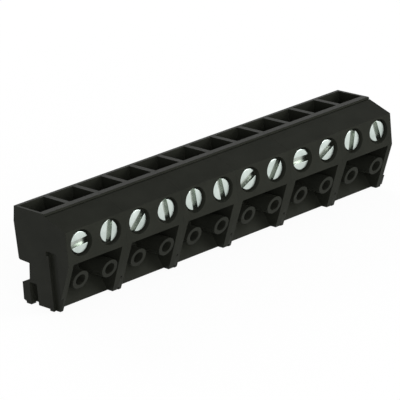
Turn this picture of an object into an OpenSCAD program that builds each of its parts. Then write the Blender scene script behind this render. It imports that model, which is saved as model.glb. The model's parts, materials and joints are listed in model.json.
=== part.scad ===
// Pluggable terminal block of interlocked two-pole modules with rising-cage screw clamps.
// Millimetres, +Z up, standing on its base, screw heads facing -Y, poles in a row along X.

/* [Row] */
// Distance between neighbouring poles
pitch = 5; // [4.8:0.02:5.4]
// Number of two-pole modules locked together side by side
modules = 6; // [1:1:8]
// Gap left between neighbouring modules
seam = 0.06; // [0.04:0.02:0.2]

/* [Housing upper part] */
// Height of the open bay under the screw face
bay_h = 7.22; // [6.9:0.02:7.7]
// Height of the upright screw face
face_h = 4.6; // [4.4:0.1:5.2]
// Rise of the sloping shoulder above the screw face
shoulder_rise = 1.42; // [0.8:0.02:2]
// Ledge between the end of the shoulder and the rim
shoulder_ledge = 0.08; // [0.04:0.02:0.4]
// Depth of the cove under the rim
rim_cove = 0.15; // [0.06:0.01:0.3]
// Height of the cove under the rim
cove_h = 0.11; // [0.06:0.01:0.2]
// Bevel along the front edge of the rim
rim_bevel = 0.14; // [0.05:0.01:0.2]
// Height of the rim above the shoulder
rim_step = 0.32; // [0.24:0.02:0.6]
// Setback of the rim behind the screw face
rim_setback = 4; // [3.7:0.1:4.6]
// Thickness of the rim in front of the wire wells
rim_t = 1.22; // [0.9:0.02:1.5]
// Wall between neighbouring wire wells
divider_t = 0.75; // [0.5:0.05:0.9]
// Thickness of the back wall at its top edge
back_wall_t = 0.55; // [0.4:0.05:0.9]
// Swell of the back wall below its top edge
back_swell = 0.4; // [0.1:0.05:0.6]
// Drop from the top edge to the widest part of the back wall
swell_drop = 2.16; // [1:0.02:3.5]

/* [Housing lower part] */
// Width of the left side rib of the bay
rib_left = 0.84; // [0.7:0.02:1.1]
// Width of the right side rib of the bay
rib_right = 0.78; // [0.6:0.02:1]
// Setback of the front of the left rib at its toe
left_setback = 3.25; // [2.4:0.05:3.4]
// Setback of the front of the right rib at its lower end
right_setback = 3.02; // [2.4:0.02:3.4]
// Height of the bevel at the toe of the left rib
rib_toe_h = 0.12; // [0.05:0.01:0.2]
// Length of the bevel at the toe of the left rib
rib_toe_l = 0.15; // [0.05:0.05:0.4]
// Lean of the bay's back wall towards the base
wall_lean = 1.85; // [0.8:0.05:1.9]
// Height over which the bay's back wall leans
wall_lean_h = 2.8; // [1.8:0.05:3]
// Drop of the haunch where the bay ceiling meets its back wall
haunch = 0.9; // [0.5:0.05:1]
// Length of the haunch along the bay ceiling
haunch_l = 1.7; // [1:0.1:2.2]
// Height of the rear foot at its outer edge
foot_h = 2.94; // [2.5:0.02:3.1]
// Rise of the rear foot towards the body
foot_rise = 0.66; // [0.3:0.02:0.8]
// Setback of the rear foot from the widest part of the back
foot_setback = 0.38; // [0.2:0.02:0.8]
// Height of the rear notch at its inner face
notch_h = 2.34; // [1.8:0.02:2.5]
// Lean of the inner face of the rear notch
notch_lean = 0.31; // [0:0.01:0.4]
// Batter of the outer face of the rear foot
foot_batter = 0.1; // [0.04:0.02:0.2]
// Setback of the lip above the rear notch from the widest part of the back
lip_setback = 0.24; // [0.1:0.02:0.4]
// Rise of the notch roof from the body to the lip
lip_rise = 0.27; // [0.2:0.01:0.4]
// Length of the bevel inside the lip
lip_bevel_l = 0.2; // [0.1:0.02:0.3]
// Height of the bevel inside the lip
lip_bevel_h = 0.16; // [0.06:0.02:0.18]
// Length of the bevel under the rear edge of the foot
foot_bevel_l = 0.52; // [0.3:0.02:0.6]
// Height of the bevel under the rear edge of the foot
foot_bevel_h = 0.2; // [0.1:0.02:0.4]
// Height of the pads on which the module stands
pad_h = 0.25; // [0.15:0.01:0.4]
// Length of the front pad under the left rib
front_pad_l = 1.7; // [1.2:0.05:2.2]
// Length of the rear pads under the foot
rear_pad_l = 1; // [0.6:0.05:1.2]

/* [Test tubes] */
// Outer diameter of a test-probe tube
tube_d = 2.6; // [2.3:0.02:2.8]
// Diameter of the hole in a test-probe tube
probe_d = 1.56; // [1.3:0.02:1.8]
// Height of a test-probe tube's axis above the base
tube_z = 4.45; // [4.2:0.05:4.7]
// Setback of the upper edge of a tube's mouth behind the screw face
tube_setback = 0.5; // [0.3:0.05:0.9]
// Lean of a tube's mouth from its upper to its lower edge
tube_lean = 1; // [0.4:0.05:1.2]

/* [Interlock] */
// Setback of the dovetail groove behind the screw face
groove_setback = 2.4; // [2.1:0.05:2.6]
// Width of the dovetail groove at its mouth
groove_w = 1.72; // [1.4:0.01:1.8]
// Undercut of the dovetail groove on each side
groove_undercut = 0.14; // [0.05:0.01:0.2]
// Depth of the dovetail groove
groove_depth = 0.45; // [0.3:0.01:0.5]
// Height of the closed upper end of the dovetail groove
groove_top = 8.4; // [7.7:0.05:8.6]
// Side clearance of the tongue in its groove
tongue_gap = 0.05; // [0.03:0.01:0.1]
// Height of the lower end of the tongue
tongue_bottom = 0.5; // [0.4:0.1:3]
// Setback of the tongue's leaning front behind the front of the right rib
tongue_inset = 0.55; // [0.4:0.05:0.8]
// Clearance above the tongue
tongue_top_gap = 0.3; // [0.1:0.05:0.6]
// Length of the catch pocket behind the upper end of the groove
catch_l = 0.5; // [0.2:0.05:0.8]
// Height of the catch pocket
catch_h = 0.6; // [0.3:0.05:1]
// Reach of the locating slot ahead of the rear notch
key_lead = 1.1; // [0.8:0.05:1.2]
// Width of the locating slot beside the rear foot
key_w = 1.55; // [1:0.05:1.6]
// Height of the locating slot beside the rear foot
key_h = 3.2; // [2.6:0.05:3.5]
// Depth of the locating slot beside the rear foot
key_depth = 0.75; // [0.5:0.05:0.8]
// Clearance of the locating key on each side of its slot
key_gap = 0.15; // [0.05:0.01:0.25]
// Clearance of the locating key below the end of its slot
key_top_gap = 0.4; // [0.2:0.05:0.6]

/* [Clamp] */
// Height of the screw axis above the bay ceiling
screw_rise = 2.55; // [2.4:0.01:2.65]
// Diameter of the screw head
head_d = 3; // [2.8:0.05:3.1]
// Length of the screw head
head_l = 1.6; // [1.3:0.05:1.8]
// Bevel around the screw head
head_bevel = 0.12; // [0.05:0.01:0.25]
// Recess of the screw head behind the screw face
head_recess = 0.38; // [0.2:0.02:0.5]
// Width of the driver slot
slot_w = 0.88; // [0.6:0.02:1]
// Depth of the driver slot
slot_depth = 0.45; // [0.35:0.05:0.8]
// Diameter of the screw shank over its thread
shank_d = 2.5; // [2.2:0.05:2.5]
// Bevel at the tip of the screw
tip_bevel = 0.35; // [0.2:0.05:0.5]
// Clearance of the cage's thread around the shank
thread_gap = 0.05; // [0.03:0.01:0.08]
// Advance of the clamp for one turn of the screw
thread_pitch = 0.45; // [0.4:0.01:0.46]
// Turns of the screw from open to closed
turns = 3.5; // [2:0.25:3.5]
// Gap around the screw head at the mouth of its hole
mouth_gap = 0.28; // [0.2:0.02:0.32]
// Length of the wide mouth of the screw hole
mouth_l = 0.9; // [0.6:0.05:1.2]
// Gap around the screw head in its guide bore
guide_gap = 0.1; // [0.05:0.01:0.15]
// Gap around the screw shank
shank_gap = 0.1; // [0.05:0.01:0.15]
// Setback of the current bar behind the rim
bar_setback = 0.5; // [0.4:0.02:0.7]
// Thickness of the current bar
bar_t = 0.8; // [0.6:0.05:0.9]
// Clear depth between the current bar and the open cage
wire_gap = 2; // [1.8:0.05:2.2]
// Clearance of the shank between the side walls of the cage
cage_room = 0.06; // [0.04:0.01:0.1]
// Height of the cage
cage_h = 3.3; // [3:0.05:3.4]
// Side wall of the cage
cage_side_t = 0.36; // [0.3:0.02:0.4]
// Threaded front wall of the cage
cage_front_t = 0.9; // [0.7:0.05:1]
// Rear wall of the cage
cage_rear_t = 0.5; // [0.4:0.05:0.6]
// Bevel along the upright corners of the cage
cage_bevel = 0.25; // [0.1:0.05:0.4]
// Running clearance around the cage in its chamber
cage_gap = 0.12; // [0.08:0.01:0.2]
// Clearance between the open cage and the back of the wire well
cage_back_gap = 0.78; // [0.3:0.02:1]

/* [Contact] */
// Gap between the current bar and the cage
bar_gap = 0.1; // [0.06:0.01:0.15]
// Thickness of the shelf the contact rests on
shelf_t = 0.5; // [0.35:0.05:0.55]
// Setback of the pin axis behind the front of the current bar
pin_setback = 1.38; // [1.2:0.01:1.45]
// Diameter of the pin entry
pin_d = 1.6; // [1.2:0.05:1.7]
// Bevel around the mouth of the pin entry
pin_bevel = 0.25; // [0.1:0.05:0.3]
// Height of the socket floor above the base
pin_lead = 1.8; // [1.5:0.05:1.9]
// Depth of the socket chamber
socket_depth = 1.5; // [1.4:0.02:1.6]
// Width of the socket chamber
socket_w = 2.8; // [2.6:0.05:3]
// Wall in front of and behind the socket chamber
socket_wall = 0.5; // [0.4:0.05:0.6]
// Depth of the spring leaves
leaf_depth = 1.2; // [0.9:0.05:1.25]
// Thickness of the spring leaves
leaf_t = 0.35; // [0.25:0.05:0.4]
// Gap between the spring leaves where they grip the pin
grip_gap = 0.84; // [0.6:0.02:1]
// Height of the grip above the lower ends of the spring leaves
grip_rise = 1.2; // [0.8:0.05:1.6]
// Flare of each spring leaf below the grip
leaf_flare = 0.4; // [0.2:0.02:0.45]
// Height of the lower ends of the spring leaves above the socket floor
leaf_lift = 0.5; // [0.3:0.05:0.8]

/* [Hidden] */
$fn = 20;
eps = 0.02;
poles_each = 2;
module_pitch = poles_each * pitch;
module_w = module_pitch - seam;
poles = poles_each * modules;
tongue_l = seam + groove_depth - tongue_gap;
row_l = modules * module_pitch - seam + tongue_l;

face_top = bay_h + face_h;
shoulder_z = face_top + shoulder_rise;
top_z = shoulder_z + rim_step;
shoulder_y = rim_setback - shoulder_ledge;
well_front = rim_setback + rim_t;
well_w = pitch - divider_t;

bar_front = well_front + bar_setback;
bar_back = bar_front + bar_t;
cage_rear_in = bar_back + wire_gap;
cage_back = cage_rear_in + cage_rear_t;
cage_front_in = bar_front - bar_gap;
cage_front = cage_front_in - cage_front_t;
travel = turns * thread_pitch;
chamber_front = cage_front - travel - 2 * cage_gap;
well_back = cage_back + cage_back_gap;
back_top = well_back + back_wall_t;
depth = back_top + back_swell;

screw_z = bay_h + screw_rise;
head_back = head_recess + head_l;
shoulder_gap = 0.04;
tip_gap = 0.05;
screw_tip = bar_front - tip_gap;
cage_bottom = screw_z - cage_h / 2;
cage_top = screw_z + cage_h / 2;
cage_w = shank_d + 2 * cage_room + 2 * cage_side_t;
floor_z = cage_bottom - cage_gap;
bar_w = cage_w - 2 * cage_side_t - 2 * bar_gap;
bar_top = cage_top;

pin_y = bar_front + pin_setback;
socket_front = pin_y - socket_depth / 2;
socket_back = pin_y + socket_depth / 2;
wall_y = socket_front - socket_wall;
notch_y = socket_back + socket_wall;
shelf_ledge = 0.3;
shelf_back = socket_back + shelf_ledge;
shelf_top = cage_bottom - 2 * cage_gap;
seat_z = shelf_top - shelf_t;
seat_gap = 0.1;
base_front = wall_y - wall_lean;
foot_y = depth - foot_setback;
pad_back = foot_y - foot_bevel_l;
notch_floor = foot_h + foot_rise;
notch_roof = notch_floor + notch_h;
lip_y = depth - lip_setback;
lip_z = notch_roof + lip_rise;
key_y = notch_y - key_lead;

front_y = -depth / 2;

// Directions of the driver slots as the screws were left
slot_turn = [3, 78, 44, 97, 96, 100, 24, 53, -2, 27, 76, 105];

function module_x(m) = -row_l / 2 + m * module_pitch;
function pole_in_module(k) = module_w / 2 + (k - (poles_each - 1) / 2) * pitch;
function pole_x(p) = module_x(floor(p / poles_each)) + pole_in_module(p % poles_each);
function mouth_y(z) = tube_setback + tube_lean * (tube_z + tube_d / 2 - z) / tube_d;

// Side outline of a module between its ribs: back, foot, bay and screw block
core_outline = [
  [base_front, pad_h],
  [wall_y, wall_lean_h],
  [wall_y, bay_h - haunch],
  [wall_y - haunch_l, bay_h],
  [0, bay_h],
  [0, face_top],
  [shoulder_y, shoulder_z],
  [rim_setback + rim_cove, shoulder_z - cove_h / 2],
  [rim_setback, shoulder_z + cove_h / 2],
  [rim_setback, top_z - rim_bevel],
  [rim_setback + rim_bevel, top_z],
  [back_top, top_z],
  [depth, top_z - swell_drop],
  [lip_y, lip_z],
  [lip_y - lip_bevel_l, lip_z - lip_bevel_h],
  [notch_y, notch_roof],
  [notch_y + notch_lean, notch_floor],
  [foot_y - foot_batter, foot_h],
  [foot_y, pad_h + foot_bevel_h],
  [pad_back, pad_h]
];

// Side outline of the left rib with the front pad under it
left_rib_outline = [
  [0, bay_h],
  [left_setback, rib_toe_h],
  [left_setback + rib_toe_l, 0],
  [left_setback + front_pad_l, 0],
  [left_setback + front_pad_l, pad_h],
  [wall_y, pad_h],
  [wall_y, bay_h]
];

// Side outline of the right rib, which ends level with the underside
right_rib_outline = [
  [0, bay_h],
  [right_setback, pad_h],
  [wall_y, pad_h],
  [wall_y, bay_h]
];

// Side outline of the space in front of the tongue, whose lower front leans with the right rib
tongue_front = [
  [0, 0],
  [right_setback + tongue_inset, 0],
  [right_setback + tongue_inset, pad_h],
  [tongue_inset, bay_h],
  [0, bay_h]
];

// Side outline that leans the tube mouths and ends the tubes in the bay's back wall
tube_outline = [
  [mouth_y(tube_z + tube_d), tube_z + tube_d],
  [mouth_y(tube_z - tube_d), tube_z - tube_d],
  [wall_y + eps, tube_z - tube_d],
  [wall_y + eps, tube_z + tube_d]
];

module side_slab(x, w, outline) {
  translate([x, 0, 0])
    rotate([90, 0, 90])
      linear_extrude(w)
        polygon(outline);
}

module y_cylinder(y, l, d) {
  translate([0, y, 0])
    rotate([-90, 0, 0])
      cylinder(h = l, d = d);
}

module block(x0, x1, y0, y1, z0, z1) {
  translate([x0, y0, z0])
    cube([x1 - x0, y1 - y0, z1 - z0]);
}

// Hollow spaces of one pole: wire well, clamp chamber, screw hole, contact seat and socket
module pole_spaces() {
  block(-well_w / 2, well_w / 2, well_front, well_back, floor_z, top_z + 1);
  block(-cage_w / 2 - cage_gap, cage_w / 2 + cage_gap, chamber_front, well_front + eps,
    floor_z, cage_top + cage_gap);
  translate([0, 0, screw_z]) {
    y_cylinder(-1, mouth_l + 1, head_d + 2 * mouth_gap);
    y_cylinder(-1, head_back + shoulder_gap + 1, head_d + 2 * guide_gap);
    y_cylinder(-1, chamber_front + 1 + eps, shank_d + 2 * shank_gap);
  }
  block(-bar_w / 2 - seat_gap, bar_w / 2 + seat_gap, bar_front - seat_gap, shelf_back + seat_gap,
    seat_z, floor_z + eps);
  block(-socket_w / 2, socket_w / 2, socket_front, socket_back, pin_lead, seat_z + eps);
  translate([0, pin_y, 0]) {
    cylinder(h = pin_lead + eps, d = pin_d);
    translate([0, 0, pad_h])
      cylinder(h = pin_bevel, d1 = pin_d + 2 * pin_bevel, d2 = pin_d);
  }
  translate([0, 0, tube_z])
    y_cylinder(-1, socket_front + 1 + eps, probe_d);
}

// Dovetail groove with its catch pocket, and the locating slot in the left side
module left_grooves() {
  translate([0, 0, -1])
    linear_extrude(groove_top + 1)
      polygon([
        [-eps, groove_setback],
        [groove_depth, groove_setback - groove_undercut],
        [groove_depth, groove_setback + groove_w + groove_undercut],
        [-eps, groove_setback + groove_w]
      ]);
  block(-eps, groove_depth, groove_setback + groove_w - eps, groove_setback + groove_w + catch_l,
    groove_top - catch_h, groove_top);
  block(-eps, key_depth, key_y, key_y + key_w, -1, key_h);
}

// Dovetail tongue and locating key on the right side
module right_tongues() {
  difference() {
    translate([module_w, 0, tongue_bottom])
      linear_extrude(groove_top - tongue_top_gap - tongue_bottom)
        polygon([
          [-eps, groove_setback + tongue_gap],
          [seam, groove_setback + tongue_gap],
          [tongue_l, groove_setback + 2 * tongue_gap - groove_undercut],
          [tongue_l, groove_setback + groove_w - 2 * tongue_gap + groove_undercut],
          [seam, groove_setback + groove_w - tongue_gap],
          [-eps, groove_setback + groove_w - tongue_gap]
        ]);
    side_slab(module_w - 2 * eps, tongue_l + 4 * eps, tongue_front);
  }
  block(module_w - eps, module_w + tongue_l,
    key_y + key_gap, key_y + key_w - key_gap, pad_h + key_top_gap, key_h - key_top_gap);
}

// Test-probe tube with its leaning mouth
module probe_tube() {
  intersection() {
    translate([0, 0, tube_z])
      y_cylinder(-1, wall_y + 2, tube_d);
    side_slab(-tube_d, 2 * tube_d, tube_outline);
  }
}

// Rib beside the bay and the rear pad on its side of the module
module side_rib(x, w, outline) {
  side_slab(x, w, outline);
  block(x, x + w, pad_back - rear_pad_l, pad_back, 0, pad_h + eps);
}

// Moulded body of one two-pole module
module housing_body() {
  difference() {
    union() {
      side_slab(0, module_w, core_outline);
      side_rib(0, rib_left, left_rib_outline);
      side_rib(module_w - rib_right, rib_right, right_rib_outline);
      for (k = [0 : poles_each - 1])
        translate([pole_in_module(k), 0, 0])
          probe_tube();
      right_tongues();
    }
    for (k = [0 : poles_each - 1])
      translate([pole_in_module(k), 0, 0])
        pole_spaces();
    left_grooves();
  }
}

// Current bar with its shelf and the two spring leaves of the socket
module contact_body() {
  leaf_low = pin_lead + leaf_lift;
  grip = grip_gap / 2;
  grip_z = leaf_low + grip_rise;
  root_in = bar_w / 2 - leaf_t;
  block(-bar_w / 2, bar_w / 2, bar_front, bar_back, seat_z, bar_top);
  block(-bar_w / 2, bar_w / 2, bar_front, shelf_back, seat_z, shelf_top);
  for (s = [-1, 1])
    translate([0, pin_y + leaf_depth / 2, 0])
      rotate([90, 0, 0])
        linear_extrude(leaf_depth)
          polygon([
            [s * (grip + leaf_flare), leaf_low],
            [s * grip, grip_z],
            [s * root_in, seat_z + eps],
            [s * (root_in + leaf_t), seat_z + eps],
            [s * (grip + leaf_t), grip_z],
            [s * (grip + leaf_flare + leaf_t), leaf_low]
          ]);
}

// Rising cage drawn towards the screw face by the screw
module cage_body() {
  half = cage_w / 2;
  inner = half - cage_side_t;
  difference() {
    translate([0, 0, cage_bottom])
      linear_extrude(cage_h)
        polygon([
          [-half + cage_bevel, cage_front],
          [half - cage_bevel, cage_front],
          [half, cage_front + cage_bevel],
          [half, cage_back - cage_bevel],
          [half - cage_bevel, cage_back],
          [-half + cage_bevel, cage_back],
          [-half, cage_back - cage_bevel],
          [-half, cage_front + cage_bevel]
        ]);
    block(-inner, inner, cage_front_in, cage_rear_in, cage_bottom - 1, cage_top + 1);
    translate([0, 0, screw_z])
      y_cylinder(cage_front - 1, cage_front_t + 1 + eps, shank_d + 2 * thread_gap);
  }
}

// Slotted clamp screw, its slot at the given turn
module screw_body(turn) {
  translate([0, 0, screw_z])
    rotate([0, -turn, 0])
      difference() {
        rotate([-90, 0, 0])
          rotate_extrude()
            polygon([
              [0, head_recess],
              [head_d / 2 - head_bevel, head_recess],
              [head_d / 2, head_recess + head_bevel],
              [head_d / 2, head_back],
              [shank_d / 2, head_back],
              [shank_d / 2, screw_tip - tip_bevel],
              [shank_d / 2 - tip_bevel, screw_tip],
              [0, screw_tip]
            ]);
        block(-head_d, head_d, head_recess - 1, head_recess + slot_depth, -slot_w / 2, slot_w / 2);
      }
}

module at_pole(p) {
  translate([pole_x(p), front_y, 0])
    children();
}

module housing(m) {
  color([0.09, 0.09, 0.08])
    translate([module_x(m), front_y, 0])
      housing_body();
}

module contact(p) {
  color([0.85, 0.66, 0.35])
    at_pole(p)
      contact_body();
}

module cage(p) {
  color([0.72, 0.73, 0.7])
    at_pole(p)
      cage_body();
}

module screw(p) {
  color([0.8, 0.83, 0.8])
    at_pole(p)
      screw_body(slot_turn[p % len(slot_turn)]);
}

for (m = [1 : modules])
  housing(m - 1);
for (p = [1 : poles])
  contact(p - 1);
for (p = [1 : poles])
  cage(p - 1);
for (p = [1 : poles])
  screw(p - 1);
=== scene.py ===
# %% [markdown]
# # A pluggable screw terminal block
#
# Six moulded two-pole modules lock together in a row. Each pole has a wire well on top, a clamp
# screw in front and a socket for a board pin underneath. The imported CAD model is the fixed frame
# of this scene: it gives the true sizes and the moving bodies. This lesson rounds the moulded
# edges, cuts real threads and gives every piece its finish.

# %% Load the frame
import json
import math

import bpy
from mathutils import Matrix, Vector


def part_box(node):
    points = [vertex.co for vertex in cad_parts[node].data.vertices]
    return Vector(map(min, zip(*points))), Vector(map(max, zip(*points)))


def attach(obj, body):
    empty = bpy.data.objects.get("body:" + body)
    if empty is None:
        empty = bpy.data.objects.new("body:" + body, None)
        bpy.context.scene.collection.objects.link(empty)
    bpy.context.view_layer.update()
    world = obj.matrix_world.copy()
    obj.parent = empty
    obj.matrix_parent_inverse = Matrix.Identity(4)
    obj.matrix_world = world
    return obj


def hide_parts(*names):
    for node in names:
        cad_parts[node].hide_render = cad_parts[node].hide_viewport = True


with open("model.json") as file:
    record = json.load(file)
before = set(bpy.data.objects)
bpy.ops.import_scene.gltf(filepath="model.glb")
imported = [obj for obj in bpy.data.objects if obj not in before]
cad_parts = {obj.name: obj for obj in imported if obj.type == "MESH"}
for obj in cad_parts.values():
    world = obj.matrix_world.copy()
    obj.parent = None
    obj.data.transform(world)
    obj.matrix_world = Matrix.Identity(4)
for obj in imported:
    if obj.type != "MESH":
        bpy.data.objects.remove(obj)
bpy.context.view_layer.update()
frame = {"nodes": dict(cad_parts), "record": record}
MM = 0.001
modules = sorted(n for n in frame["nodes"] if n.startswith("housing_"))
poles = len([n for n in frame["nodes"] if n.startswith("screw_")])
print("modules:", len(modules), "poles:", poles)

# %% [markdown]
# ## Small helpers for working by operator
#
# An operator acts on whatever is selected, so each step first clears the selection and then picks
# one object. In edit mode the faces to work on are chosen in code, by their place or direction.

# %% Selection helpers


def pick_only(obj):
    """Makes one object the selected and active one."""
    bpy.ops.object.select_all(action="DESELECT")
    obj.select_set(True)
    bpy.context.view_layer.objects.active = obj


def apply_all(obj):
    """Applies every modifier of an object in order."""
    pick_only(obj)
    for modifier in list(obj.modifiers):
        bpy.ops.object.modifier_apply(modifier=modifier.name)


def edit_faces(obj, wanted):
    """Opens edit mode with only the faces selected that pass a test."""
    pick_only(obj)
    bpy.ops.object.mode_set(mode="EDIT")
    bpy.ops.mesh.select_mode(type="FACE")
    bpy.ops.mesh.select_all(action="DESELECT")
    bpy.ops.object.mode_set(mode="OBJECT")
    for face in obj.data.polygons:
        face.select = wanted(face)
    bpy.ops.object.mode_set(mode="EDIT")


def edit_all(obj):
    """Opens edit mode with everything selected."""
    pick_only(obj)
    bpy.ops.object.mode_set(mode="EDIT")
    bpy.ops.mesh.select_all(action="SELECT")


# %% [markdown]
# ## Taking the place of a CAD node
#
# A finished piece moves with the body of the node that it replaces. The record lists which nodes
# make up each body, so the piece finds its own body there.

# %% Standing in for a node


def body_of_node(node):
    """The name of the moving body that a CAD node belongs to."""
    for body, members in frame["record"]["behaviour"]["bodies"].items():
        if node in members:
            return body
    raise KeyError(node)


def stand_for(piece, node):
    """Lets a finished piece take the place of a CAD node and move with its body."""
    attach(piece, body_of_node(node))
    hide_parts(node)


print("screw_1 moves with", body_of_node("screw_1"))

# %% [markdown]
# ## Shader maths as Python
#
# Node trees are long to write link by link. A small class wraps a socket, so that a sum or product
# in Python adds the Math node for it, and one function adds any other node.

# %% Shader expressions


class Sock:
    """A node socket that takes part in Python arithmetic."""

    def __init__(self, tree, socket):
        self.tree = tree
        self.socket = socket

    def _math(self, operation, a, b):
        return add_node(self.tree, "ShaderNodeMath", {"operation": operation}, {0: a, 1: b})

    def __add__(self, other):
        return self._math("ADD", self, other)

    def __radd__(self, other):
        return self._math("ADD", other, self)

    def __sub__(self, other):
        return self._math("SUBTRACT", self, other)

    def __rsub__(self, other):
        return self._math("SUBTRACT", other, self)

    def __mul__(self, other):
        return self._math("MULTIPLY", self, other)

    def __rmul__(self, other):
        return self._math("MULTIPLY", other, self)


def add_node(tree, kind, settings, values, output=0):
    """Adds one node: settings first, then socket values or links, and returns an output."""
    node = tree.nodes.new(kind)
    for name, value in settings.items():
        if name == "stops":
            while len(node.color_ramp.elements) < len(value):
                node.color_ramp.elements.new(0.5)
            for element, (place, colour) in zip(node.color_ramp.elements, value):
                element.position = place
                element.color = colour
        else:
            setattr(node, name, value)
    for key, value in values.items():
        if isinstance(value, Sock):
            tree.links.new(value.socket, node.inputs[key])
        else:
            node.inputs[key].default_value = value
    return Sock(tree, node.outputs[output])


# %% Materials and rays


def new_material(name):
    """A node material with its shader, ready for values."""
    material = bpy.data.materials.new(name)
    material.use_nodes = True
    return material, material.node_tree, material.node_tree.nodes["Principled BSDF"]


def seen_rays(tree):
    """One for rays of the camera, of reflections and of glass, and nought for light."""
    camera_ray, glossy_ray, glass_ray = (
        add_node(tree, "ShaderNodeLightPath", {}, {}, ray)
        for ray in ("Is Camera Ray", "Is Glossy Ray", "Is Transmission Ray"))
    return camera_ray + glossy_ray + glass_ray


# %% [markdown]
# ## Studio
#
# The block stands on a white sweep in a plain studio. The surroundings are white near the horizon
# and dimmer overhead where a reflection looks at them, and dimmer all round as a lamp, so that the
# black plastic keeps its depth. The floor glows white for the eye and for reflections only, which
# leaves the block's soft shadow on it.

# %% World
white = (1, 1, 1, 1)
horizon_level = 1.0
overhead_level = 0.3
lamp_level = 0.24
fade_start = 0.38
fade_end = 0.75

scene = bpy.context.scene
scene.view_settings.view_transform = "Standard"
world = bpy.data.worlds.new("studio")
scene.world = world
world.use_nodes = True
tree = world.node_tree
ray_direction = add_node(tree, "ShaderNodeTexCoord", {}, {}, "Generated")
ray_height = add_node(tree, "ShaderNodeSeparateXYZ", {}, {"Vector": ray_direction}, "Z")
sky = add_node(tree, "ShaderNodeMapRange", {"interpolation_type": "SMOOTHSTEP"},
               {"Value": ray_height, "From Min": fade_start, "From Max": fade_end,
                "To Min": horizon_level, "To Max": overhead_level})
level = lamp_level + seen_rays(tree) * (sky - lamp_level)
background = tree.nodes["Background"]
background.inputs["Color"].default_value = white
tree.links.new(level.socket, background.inputs["Strength"])
print("world: horizon", horizon_level, "overhead", overhead_level, "as a lamp", lamp_level)

# %% Floor
floor_size = 3.0
floor_drop = 0.02 * MM
floor_grey = (0.82, 0.82, 0.82, 1)
floor_glow = 0.88
floor_white = 1.07

bpy.ops.object.select_all(action="DESELECT")
bpy.ops.mesh.primitive_plane_add(size=floor_size, location=(0, 0, -floor_drop))
floor = bpy.context.object
floor.name = "floor"
floor_paint, tree, shader = new_material("white_sweep")
shader.inputs["Base Color"].default_value = floor_grey
shader.inputs["Roughness"].default_value = 0.9
shader.inputs["Specular IOR Level"].default_value = 0.1
paint = Sock(tree, shader.outputs["BSDF"])
glow = add_node(tree, "ShaderNodeEmission", {}, {"Color": white, "Strength": floor_white})
blend = add_node(tree, "ShaderNodeMixShader", {},
                 {"Fac": seen_rays(tree) * floor_glow, 1: paint, 2: glow})
tree.links.new(blend.socket, tree.nodes["Material Output"].inputs["Surface"])
floor.data.materials.append(floor_paint)
print("floor:", floor_size, "m")

# %% [markdown]
# ## Lamps
#
# Three soft boxes give the plastic its shape. The one at the front right is mirrored in the metal,
# where it brightens the level slots and leaves the upright ones grey. A box beside the camera
# would put hard glints in the slots, so that one, and the one behind the block, are hidden from
# reflections and only give soft light.

# %% Soft boxes
box_size = 0.28
block_middle = (0, 0, 6.5 * MM)


def soft_box(name, place, power, mirrored):
    """A square area lamp that faces the block, and that polished metal mirrors or not."""
    lamp = bpy.data.lights.new(name, "AREA")
    lamp.size = box_size
    lamp.energy = power
    obj = bpy.data.objects.new(name, lamp)
    scene.collection.objects.link(obj)
    obj.location = place
    obj.rotation_euler = (Vector(block_middle) - Vector(place)).to_track_quat("-Z", "Y").to_euler()
    obj.visible_glossy = mirrored
    print(name, "at", place)


soft_box("front_box", (0.33, -0.42, 0.18), power=1.4, mirrored=True)
soft_box("camera_box", (-0.25, -0.48, 0.15), power=1.25, mirrored=False)
soft_box("back_box", (0.15, 0.5, 0.18), power=1.2, mirrored=False)

# %% [markdown]
# ## Camera
#
# The camera is far away with a long lens, a little above and to the left of the screw face, and
# slightly rolled. It first looks straight at a point in the block. That point lies off the middle
# of the picture, so the camera is then turned until the point has its own pixel.

# %% Where the camera looks
view_aim = Vector((-0.23, -0.375, 7.01)) * MM
view_azimuth = math.radians(-40.975)
view_elevation = math.radians(18.723)
view_roll = math.radians(-5.015)
view_distance = 382.9 * MM
focal_pixels = 2799.5
frame_pixels = 400
aim_pixel = (213.5, 197.1)

back = Vector((math.sin(view_azimuth) * math.cos(view_elevation),
               -math.cos(view_azimuth) * math.cos(view_elevation),
               math.sin(view_elevation)))
right = Vector((0, 0, 1)).cross(back).normalized()
up = back.cross(right)
right, up = (math.cos(view_roll) * right + math.sin(view_roll) * up,
             math.cos(view_roll) * up - math.sin(view_roll) * right)
eye = view_aim + back * view_distance
per_pixel = view_distance / focal_pixels
centre = (view_aim + right * (frame_pixels / 2 - aim_pixel[0]) * per_pixel
          - up * (frame_pixels / 2 - aim_pixel[1]) * per_pixel)
back = (eye - centre).normalized()
right = (right - back * right.dot(back)).normalized()
up = back.cross(right)
print("eye at", tuple(round(v / MM, 1) for v in eye))

# %% Camera and lens
lens = bpy.data.cameras.new("camera")
lens.sensor_fit = "HORIZONTAL"
lens.sensor_width = 36
lens.lens = lens.sensor_width * focal_pixels / frame_pixels
lens.clip_start = 0.01
camera = bpy.data.objects.new("camera", lens)
scene.collection.objects.link(camera)
camera.matrix_world = Matrix((
    (right.x, up.x, back.x, eye.x),
    (right.y, up.y, back.y, eye.y),
    (right.z, up.z, back.z, eye.z),
    (0, 0, 0, 1)))
scene.camera = camera
print("lens", round(lens.lens, 1), "mm")

# %% [markdown]
# ## Plastic finish
#
# The housings are black polyamide with a very fine moulded grain. A picture could carry the grain,
# but noise on object coordinates has no seams and the same scale on every module. A coarser noise
# lets the tone and the gloss drift a little, as they do on real mouldings.

# %% Black polyamide
grain_scale = 9000.0
cloud_scale = 260.0
deep_black = (0.022, 0.0235, 0.0185, 1)
pale_black = (0.028, 0.0298, 0.0236, 1)
least_roughness = 0.27
roughness_drift = 0.08
plastic_mirror = 0.035
grain_depth = 0.02 * MM

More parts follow.
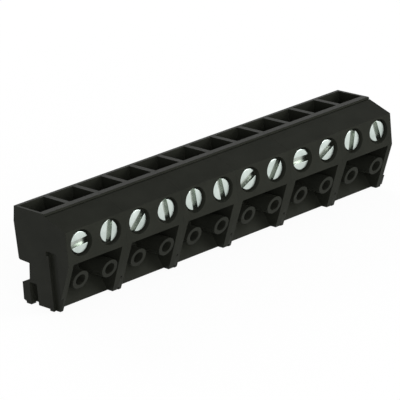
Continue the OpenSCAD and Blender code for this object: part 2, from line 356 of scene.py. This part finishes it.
black_plastic, tree, shader = new_material("black_polyamide")
where = add_node(tree, "ShaderNodeTexCoord", {}, {}, "Object")
grain = add_node(tree, "ShaderNodeTexNoise", {}, {"Vector": where, "Scale": grain_scale, "Detail": 3.0})
cloud = add_node(tree, "ShaderNodeTexNoise", {}, {"Vector": where, "Scale": cloud_scale, "Detail": 4.0})
tone = add_node(tree, "ShaderNodeValToRGB",
                {"stops": [(0.3, deep_black), (0.7, pale_black)]}, {"Fac": cloud})
tree.links.new(tone.socket, shader.inputs["Base Color"])
roughness = least_roughness + cloud * roughness_drift
tree.links.new(roughness.socket, shader.inputs["Roughness"])
shader.inputs["Specular IOR Level"].default_value = plastic_mirror
bump = add_node(tree, "ShaderNodeBump", {},
                {"Height": grain, "Strength": 0.12, "Distance": grain_depth})
tree.links.new(bump.socket, shader.inputs["Normal"])
print("plastic:", black_plastic.name)

# %% [markdown]
# ## Metal finishes
#
# The screws are zinc plated. In the sawn slot the metal is less rough, and its darker colour is
# painted shade inside the slot. The cages are nickel plated and the contacts are tinned over brass.
# Plating varies in the same way on all of them, so one function makes the four finishes from a pale
# and a dull tone.

# %% Plated metals
plate_cloud_scale = 900.0
plate_fine_scale = 7000.0
plate_streak = 0.12
plate_bump = 0.01 * MM


def plated(name, pale, dull, roughness):
    """A plated metal whose tone and gloss drift a little over the surface."""
    material, tree, shader = new_material(name)
    where = add_node(tree, "ShaderNodeTexCoord", {}, {}, "Object")
    cloud = add_node(tree, "ShaderNodeTexNoise", {},
                     {"Vector": where, "Scale": plate_cloud_scale, "Detail": 4.0})
    fine = add_node(tree, "ShaderNodeTexNoise", {},
                    {"Vector": where, "Scale": plate_fine_scale, "Detail": 2.0})
    tone = add_node(tree, "ShaderNodeValToRGB", {"stops": [(0.3, dull), (0.7, pale)]}, {"Fac": cloud})
    tree.links.new(tone.socket, shader.inputs["Base Color"])
    tree.links.new((roughness + fine * plate_streak).socket, shader.inputs["Roughness"])
    shader.inputs["Metallic"].default_value = 1.0
    bump = add_node(tree, "ShaderNodeBump", {},
                    {"Height": fine, "Strength": 0.05, "Distance": plate_bump})
    tree.links.new(bump.socket, shader.inputs["Normal"])
    return material


zinc = plated("zinc_plate", (0.64, 0.71, 0.67, 1), (0.52, 0.59, 0.55, 1), 0.24)
# Slot metal: its lower roughness is the sawn surface, and its darker colour is painted shade.
slot_shade_metal = plated("slot_painted_shade", (0.48, 0.52, 0.47, 1), (0.34, 0.38, 0.34, 1), 0.2)
nickel = plated("nickel_plate", (0.66, 0.64, 0.6, 1), (0.58, 0.56, 0.52, 1), 0.25)
tin = plated("tinned_brass", (0.72, 0.62, 0.42, 1), (0.6, 0.5, 0.32, 1), 0.3)
print("metals:", zinc.name, slot_shade_metal.name, nickel.name, tin.name)

# %% [markdown]
# ## Seams between the modules
#
# Two things are shaped on a housing before its edges are rounded. The lower end of its tongue
# stands back from the slanted rib, which leaves an open slot at each seam, while the real seam is
# closed there. A block joined on by a Boolean would fill the slot, but it leaves thin faces that
# shade badly. So the tongue's front face is cut across with bisect, and its lower part is pulled
# forward with extrude.
#
# The modules also stand a hair apart, and the white floor would shine through. The right side of
# each module is therefore moved almost up to its neighbour.

# %% Foot of the tongue
foot_top = 2.0 * MM
foot_reach = 0.43 * MM
hair = 0.01 * MM
least_forward = 0.8
least_down = 0.2


def is_slanted(face):
    """Whether a face leans like the front of a rib."""
    return face.normal.y < -least_forward and face.normal.z < -least_down


def add_tongue_foot(piece):
    """Brings the lower end of a module's tongue forward, almost to the slanted front of its rib."""
    tongue_x = max(face.center.x for face in piece.data.polygons if is_slanted(face)) - hair

    def on_tongue(face):
        return is_slanted(face) and face.center.x > tongue_x

    edit_faces(piece, on_tongue)
    bpy.ops.mesh.bisect(plane_co=(0, 0, foot_top), plane_no=(0, 0, 1))
    bpy.ops.object.mode_set(mode="OBJECT")
    edit_faces(piece, lambda face: on_tongue(face) and face.center.z < foot_top)
    bpy.ops.mesh.extrude_region_move(TRANSFORM_OT_translate={"value": (0, -foot_reach, 0)})
    bpy.ops.object.mode_set(mode="OBJECT")


print("tongue foot:", round(foot_reach / MM, 2), "mm forward below", round(foot_top / MM, 2), "mm")

# %% Closed seam
seam_share = 0.05 * MM
square_on = 0.999


def close_seam(piece):
    """Moves a module's right side almost to the next module, so that no light falls through."""
    sides = [face for face in piece.data.polygons if face.normal.x > square_on]
    side_x = max(sides, key=lambda face: face.area).center.x
    edit_faces(piece, lambda face: face.normal.x > square_on and abs(face.center.x - side_x) < hair)
    bpy.ops.transform.translate(value=(seam_share, 0, 0))
    bpy.ops.object.mode_set(mode="OBJECT")


def fit_module(piece):
    """Shapes what shows between two modules."""
    add_tongue_foot(piece)
    close_seam(piece)


print("right sides moved by", round(seam_share / MM, 2), "mm")

# %% [markdown]
# ## Rounded mouldings and stampings
#
# A moulded edge is never sharp: it has a small radius that catches the light. Each CAD node is
# copied, its loose triangles are merged, flat areas are joined again, and a bevel rounds every
# edge sharper than a set angle. Weighted normals then keep the large flat faces evenly shaded, so
# that only the narrow bevels bend the light.

# %% Merged copies
merge_gap = 0.0005 * MM
flat_angle = math.radians(0.6)


def merged_copy(node, finish):
    """A copy of a CAD node with its loose triangles joined into whole faces."""
    source = frame["nodes"][node]
    piece = source.copy()
    piece.data = source.data.copy()
    piece.name = node + "_rounded"
    scene.collection.objects.link(piece)
    piece.data.materials.clear()
    piece.data.materials.append(finish)
    edit_all(piece)
    bpy.ops.mesh.remove_doubles(threshold=merge_gap)
    bpy.ops.mesh.dissolve_limited(angle_limit=flat_angle)
    bpy.ops.object.mode_set(mode="OBJECT")
    return piece


# %% Rounded edges
round_angle = math.radians(28)
smooth_angle = math.radians(35)
moulded_round = 0.045 * MM
contact_round = 0.05 * MM
cage_round = 0.08 * MM


def round_edges(piece, width):
    """Rounds the sharp edges of a piece and keeps its flat faces evenly shaded."""
    bevel = piece.modifiers.new("round", "BEVEL")
    bevel.limit_method = "ANGLE"
    bevel.angle_limit = round_angle
    bevel.width = width
    bevel.segments = 2
    bevel.miter_outer = "MITER_SHARP"
    apply_all(piece)
    bpy.ops.object.shade_smooth_by_angle(angle=smooth_angle)
    even = piece.modifiers.new("even", "WEIGHTED_NORMAL")
    even.keep_sharp = True
    apply_all(piece)


# %% Housings
for node in modules:
    housing = merged_copy(node, black_plastic)
    fit_module(housing)
    round_edges(housing, moulded_round)
    stand_for(housing, node)
print("housings:", len(modules), "with", len(housing.data.polygons), "faces each")

# %% Contacts and cages
for number in range(1, poles + 1):
    contact = merged_copy(f"contact_{number}", tin)
    round_edges(contact, contact_round)
    stand_for(contact, f"contact_{number}")
    cage = merged_copy(f"cage_{number}", nickel)
    round_edges(cage, cage_round)
    stand_for(cage, f"cage_{number}")
print("contacts and cages:", poles, "of each")

# %% [markdown]
# ## Clamp screws
#
# A clamp screw is turned from bar, its slot is sawn and its thread is rolled. One screw is
# modelled at the origin, standing on its head, with its sizes measured on the frame. It is then
# copied to every pole with the slot turned as there.

# %% Measure the screws
rim_share = 0.97
slot_share = 0.6
behind_head = 0.1 * MM
wall_tilt = 0.02


def screw_facts(node):
    """The axis, lengths, radii and slot of one CAD screw, which lies along Y."""
    low, high = (Vector(corner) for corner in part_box(node))
    axis = (low + high) / 2
    mesh = frame["nodes"][node].data
    radius = (high.z - low.z) / 2

    def off_axis(point):
        return math.hypot(point.x - axis.x, point.z - axis.z)

    def from_axis(face):
        return abs((face.center - axis).dot(face.normal))

    head_back = max(v.co.y for v in mesh.vertices if off_axis(v.co) > rim_share * radius)
    shank = max(off_axis(v.co) for v in mesh.vertices if v.co.y > head_back + behind_head)
    walls = [f for f in mesh.polygons
             if abs(f.normal.y) < wall_tilt and from_axis(f) < slot_share * radius]
    floor_y = max(mesh.vertices[i].co.y for f in walls for i in f.vertices)
    return {"place": Vector((axis.x, low.y, axis.z)), "head_r": radius, "head_l": head_back - low.y,
            "shank_r": shank, "length": high.y - low.y,
            "slot_half": from_axis(walls[0]), "slot_depth": floor_y - low.y,
            "turn": math.atan2(walls[0].normal.x, walls[0].normal.z)}


facts = screw_facts("screw_1")
print({k: round(v / MM, 3) for k, v in facts.items() if isinstance(v, float) and k != "turn"})

# %% Helpers for turned parts
turned_sides = 64
end_on = 0.9


def turned_bar(radius, length):
    """A plain round bar that stands on the origin along Z."""
    bpy.ops.object.select_all(action="DESELECT")
    bpy.ops.mesh.primitive_cylinder_add(vertices=turned_sides, radius=radius, depth=length,
                                        location=(0, 0, length / 2))
    bpy.ops.object.transform_apply(location=True, rotation=True, scale=True)
    return bpy.context.object


def cut_away(obj, tool, operation):
    """Combines an object with a tool by a Boolean and removes the tool."""
    boolean = obj.modifiers.new("cut", "BOOLEAN")
    boolean.operation = operation
    boolean.solver = "EXACT"
    boolean.object = tool
    apply_all(obj)
    bpy.data.objects.remove(tool)


# %% Slotted head
head_bevel = 0.12 * MM
edge_round = 0.03 * MM
edge_angle = math.radians(50)

screw = turned_bar(facts["head_r"], facts["head_l"])
screw.name = "clamp_screw"
edit_faces(screw, lambda face: face.normal.z < -end_on)
bpy.ops.mesh.bevel(offset=head_bevel, segments=4, affect="EDGES")
bpy.ops.object.mode_set(mode="OBJECT")

bpy.ops.object.select_all(action="DESELECT")
bpy.ops.mesh.primitive_cube_add(size=2, scale=(2 * facts["head_r"], facts["slot_half"],
                                               facts["slot_depth"]))
cut_away(screw, bpy.context.object, "DIFFERENCE")
soften = screw.modifiers.new("soften", "BEVEL")
soften.limit_method = "ANGLE"
soften.angle_limit = edge_angle
soften.width = edge_round
soften.segments = 2
apply_all(screw)
print("head faces:", len(screw.data.polygons))

# %% [markdown]
# ## Thread
#
# A bump pattern would leave the shank a smooth rod, so the thread is real: one ridge is drawn as a
# line of points, a Screw modifier winds it up, and its two ends are cut flat. A bar with a bevelled
# tip then trims the crests, and the thread is joined to the head.

# %% Ridge of the thread
thread_pitch = 0.45 * MM
thread_depth = 0.26 * MM
crest_share = 0.14
root_share = 0.2
thread_sunk = 0.25 * MM
start_size = 0.1 * MM

root_r = facts["shank_r"] - thread_depth
half_root = thread_pitch * root_share / 2
flank = thread_pitch * (1 - crest_share - root_share) / 2
ridge = [(0, half_root), (thread_depth, flank), (0, thread_pitch * crest_share),
         (-thread_depth, flank), (0, half_root)]
thread_start = facts["head_l"] - thread_sunk

bpy.ops.object.select_all(action="DESELECT")
bpy.ops.mesh.primitive_plane_add(size=start_size)
thread = bpy.context.object
edit_all(thread)
bpy.ops.mesh.merge(type="CENTER")
bpy.ops.transform.translate(value=(root_r, 0, thread_start - thread_pitch))
for outward, along in ridge:
    bpy.ops.mesh.extrude_vertices_move(TRANSFORM_OT_translate={"value": (outward, 0, along)})
bpy.ops.object.mode_set(mode="OBJECT")
print("ridge points:", len(thread.data.vertices))

# %% Wind the ridge
steps_per_turn = 32
wind_gap = 0.001 * MM

turns = math.ceil((facts["length"] - thread_start) / thread_pitch) + 1
wind = thread.modifiers.new("wind", "SCREW")
wind.axis = "Z"
wind.angle = 2 * math.pi
wind.screw_offset = thread_pitch
wind.iterations = turns + 1
wind.steps = steps_per_turn
wind.render_steps = steps_per_turn
wind.use_merge_vertices = True
wind.merge_threshold = wind_gap
apply_all(thread)
print("thread faces:", len(thread.data.polygons), "turns:", turns)

# %% Flat ends
for cut_height, outer_side in ((thread_start, -1), (facts["length"], 1)):
    edit_all(thread)
    bpy.ops.mesh.bisect(plane_co=(0, 0, cut_height), plane_no=(0, 0, outer_side),
                        use_fill=True, clear_outer=True)
    bpy.ops.object.mode_set(mode="OBJECT")
edit_all(thread)
bpy.ops.mesh.remove_doubles(threshold=merge_gap)
bpy.ops.mesh.normals_make_consistent(inside=False)
bpy.ops.object.mode_set(mode="OBJECT")
print("thread faces after the cuts:", len(thread.data.polygons))

# %% Bevelled tip
tip_bevel = 0.35 * MM

envelope = turned_bar(facts["shank_r"], facts["length"])
edit_faces(envelope, lambda face: face.normal.z > end_on)
bpy.ops.mesh.bevel(offset=tip_bevel, segments=1, affect="EDGES")
bpy.ops.object.mode_set(mode="OBJECT")
cut_away(thread, envelope, "INTERSECT")
cut_away(screw, thread, "UNION")
print("screw faces:", len(screw.data.polygons))

# %% [markdown]
# ## Finish and copies of the screw
#
# Only the walls and the floor of the slot get the slot metal, whose darker colour is painted shade:
# their faces lie between the slot's sides, under the rounded lip. Each copy has its own mesh, laid
# along Y with its head in front.

# %% Slot metal with painted shade
slot_lip = 2 * edge_round
slot_foot = facts["slot_depth"] + edge_round
slot_side = facts["slot_half"] + edge_round / 4
metal_angle = math.radians(30)

screw.data.materials.clear()
screw.data.materials.append(zinc)
screw.data.materials.append(slot_shade_metal)
# Faces inside the slot get the second material, which is darkened as painted shade.
for face in screw.data.polygons:
    in_slot = slot_lip < face.center.z < slot_foot and abs(face.center.y) < slot_side
    face.material_index = 1 if in_slot else 0
pick_only(screw)
bpy.ops.object.shade_smooth_by_angle(angle=metal_angle)
print("slot faces:", sum(face.material_index for face in screw.data.polygons))

# %% A screw at every pole
lying = Matrix.Rotation(math.radians(-90), 4, "X")
for number in range(1, poles + 1):
    node = f"screw_{number}"
    seat = screw_facts(node)
    piece = screw.copy()
    piece.data = screw.data.copy()
    piece.name = f"clamp_screw_{number}"
    scene.collection.objects.link(piece)
    slot_turn = Matrix.Rotation(seat["turn"], 4, "Y")
    piece.data.transform(Matrix.Translation(seat["place"]) @ slot_turn @ lying)
    stand_for(piece, node)
bpy.data.objects.remove(screw)
print("screws:", poles)
